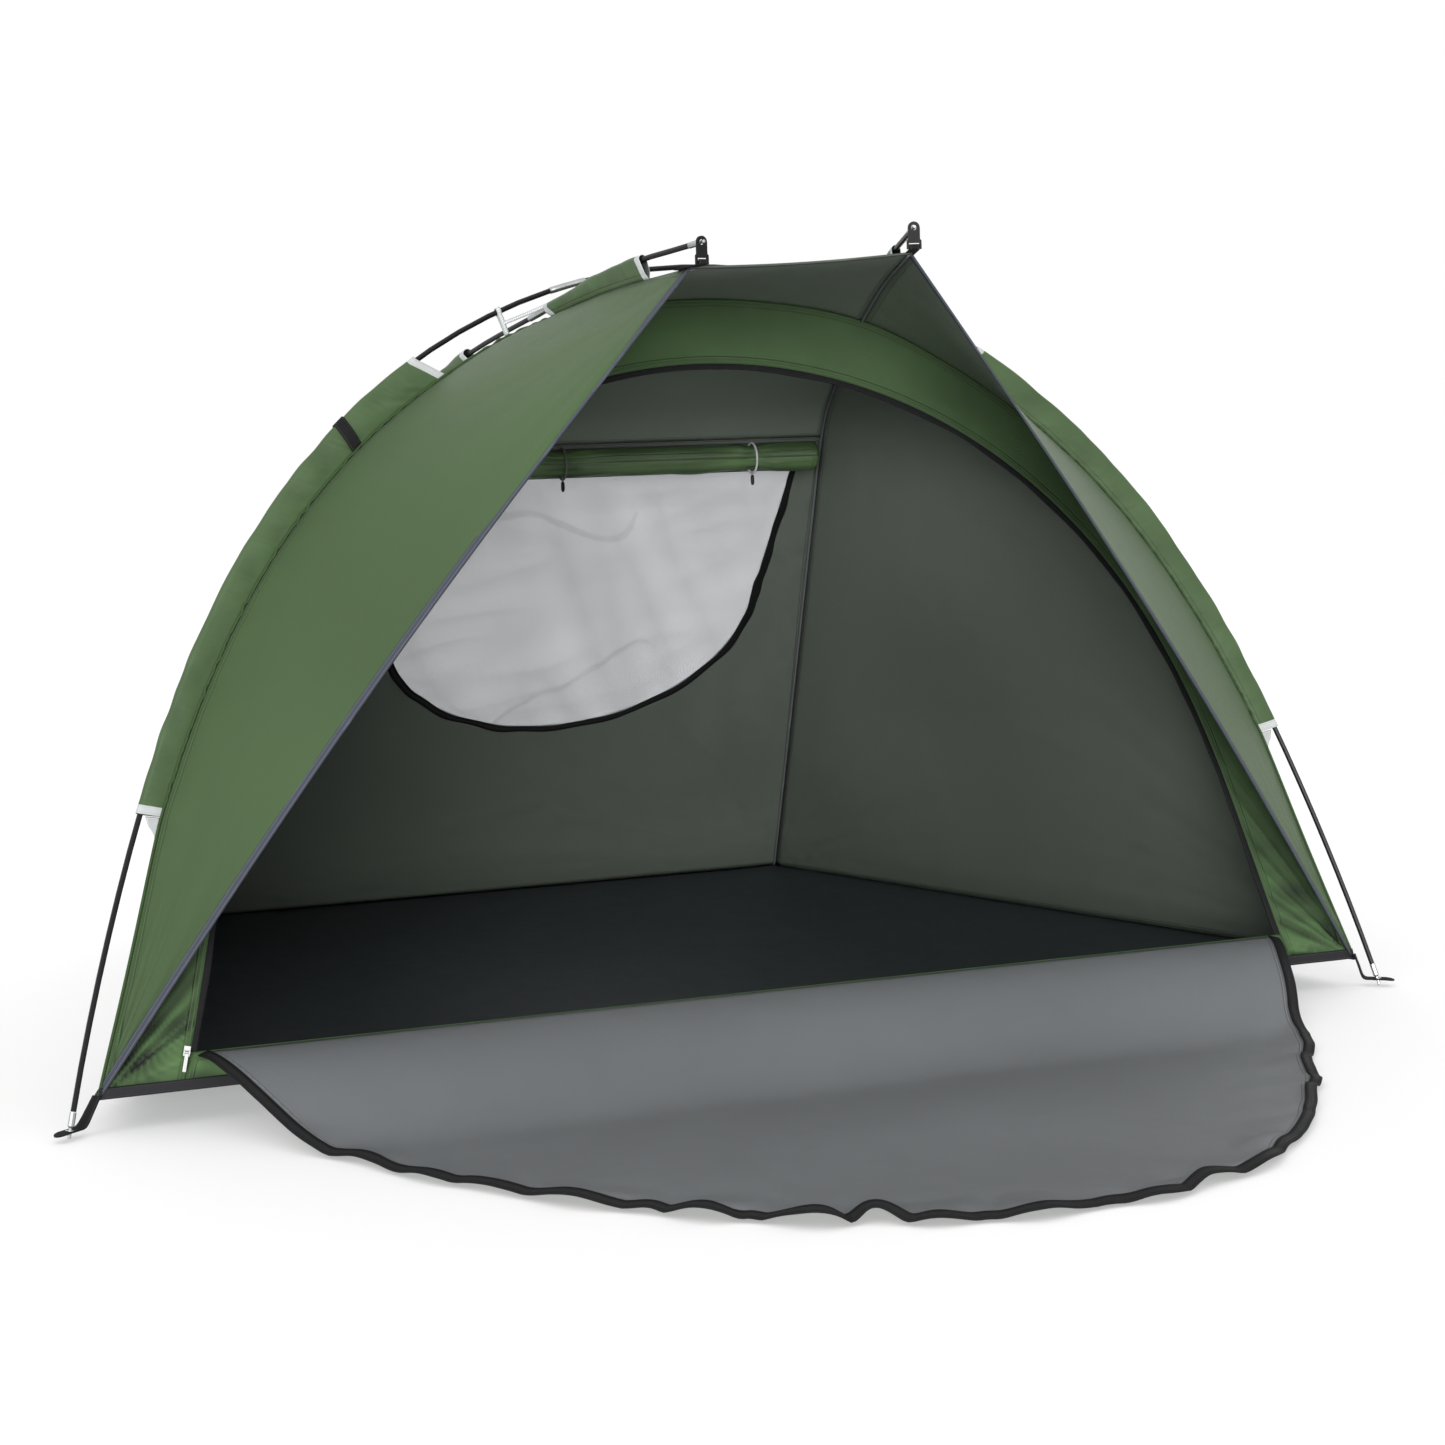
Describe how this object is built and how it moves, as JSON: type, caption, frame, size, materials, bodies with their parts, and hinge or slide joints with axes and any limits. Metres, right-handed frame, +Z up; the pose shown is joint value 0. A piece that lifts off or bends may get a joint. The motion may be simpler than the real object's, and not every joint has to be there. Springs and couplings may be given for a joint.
{
  "type": "beach shelter tent",
  "caption": "Small green beach shelter: a dome-fronted tent on three bent poles with a peaked visor, side wings, a mesh back window and an arched door laid open.",
  "frame": {"origin": "on the ground, under the middle of the whole footprint with the door laid open in front", "axes": "+Z up, +Y from the doorway towards the back wall, +X to the right of a person who stands outside and faces the doorway"},
  "size_m": [2.1506, 2.5774, 1.2191],
  "materials": {
    "fibreglass": "black glass-fibre rod with a satin surface, a metal ferrule on the end of each section",
    "metal": "bare metal, satin",
    "green_cloth": "plain-weave polyester in forest green, slightly shiny",
    "coated_cloth": "the same cloth seen on its silvery-grey coated side",
    "door_cloth": "coated polyester, mid grey, soft sheen",
    "floor_cloth": "near-black woven polyethylene groundsheet",
    "window_net": "fine pale-grey insect net",
    "black_webbing": "black woven webbing and zip tape",
    "black_plastic": "moulded black plastic",
    "white_tape": "pale grey woven tape and elastic"
  },
  "bodies": {
    "tent": {"back_wall": "coated_cloth", "crossing_tie_left": "white_tape", "crossing_tie_right": "white_tape", "door_zip_track": "black_webbing", "flap_loop_left": "white_tape", "flap_loop_right": "white_tape", "floor": "floor_cloth", "foot_strap_left_back": "black_webbing", "foot_strap_left_front": "black_webbing", "foot_strap_right_back": "black_webbing", "foot_strap_right_front": "black_webbing", "front_arch_band": "green_cloth", "front_sill": "green_cloth", "hoop_pole_section_1": "fibreglass", "hoop_pole_section_2": "fibreglass", "hoop_pole_section_3": "fibreglass", "hoop_pole_section_4": "fibreglass", "hoop_pole_section_5": "fibreglass", "hoop_pole_section_6": "fibreglass", "hoop_pole_section_7": "fibreglass", "hoop_tip_left": "metal", "hoop_tip_right": "metal", "left_back_sleeve": "green_cloth", "left_hoop_sleeve": "green_cloth", "left_side_wall": "green_cloth", "left_visor_sleeve": "green_cloth", "left_wing": "green_cloth", "ridge_pole_left_section_1": "fibreglass", "ridge_pole_left_section_2": "fibreglass", "ridge_pole_left_section_3": "fibreglass", "ridge_pole_left_section_4": "fibreglass", "ridge_pole_left_section_5": "fibreglass", "ridge_pole_right_section_1": "fibreglass", "ridge_pole_right_section_2": "fibreglass", "ridge_pole_right_section_3": "fibreglass", "ridge_pole_right_section_4": "fibreglass", "ridge_pole_right_section_5": "fibreglass", "ridge_tip_left_back": "metal", "ridge_tip_left_front": "metal", "ridge_tip_right_back": "metal", "ridge_tip_right_front": "metal", "right_back_sleeve": "green_cloth", "right_hoop_sleeve": "green_cloth", "right_side_wall": "green_cloth", "right_visor_sleeve": "green_cloth", "right_wing": "green_cloth", "rolled_window_flap": "green_cloth", "roof": "green_cloth", "sleeve_strap_left": "black_webbing", "visor": "green_cloth", "visor_buckle_left": "black_plastic", "visor_buckle_right": "black_plastic", "visor_strap_left": "black_webbing", "visor_strap_right": "black_webbing", "window_mesh": "window_net"},
    "door": {"door_panel": "door_cloth"},
    "slider": {"zip_slider": "metal"},
    "pull": {"zip_pull": "metal"},
    "toggle_left": {"flap_toggle_left": "black_plastic"},
    "toggle_right": {"flap_toggle_right": "black_plastic"}
  },
  "joints": [
    {"name": "door_hinge", "type": "hinge", "parent": "tent", "child": "door", "pos_m": [0, -0.38867, 0.09652], "axis": [-1, 0, 0], "range_deg": [0, 85]},
    {"name": "zip_slide", "type": "slide", "parent": "tent", "child": "slider", "axis": [0.2395, 0.2234, 0.9449], "range_m": [0, 0.25]},
    {"name": "pull_hinge", "type": "hinge", "parent": "slider", "child": "pull", "pos_m": [-0.88289, -0.39275, 0.0997], "axis": [-0.9709, 0.0551, 0.2331], "range_deg": [0, 150]},
    {"name": "toggle_left_swing", "type": "hinge", "parent": "tent", "child": "toggle_left", "pos_m": [-0.1, 0.32424, 0.86713], "axis": [0, 1, 0], "range_deg": [-35, 35]},
    {"name": "toggle_right_swing", "type": "hinge", "parent": "tent", "child": "toggle_right", "pos_m": [0.25, 0.32424, 0.86713], "axis": [0, 1, 0], "range_deg": [-35, 35]}
  ]
}
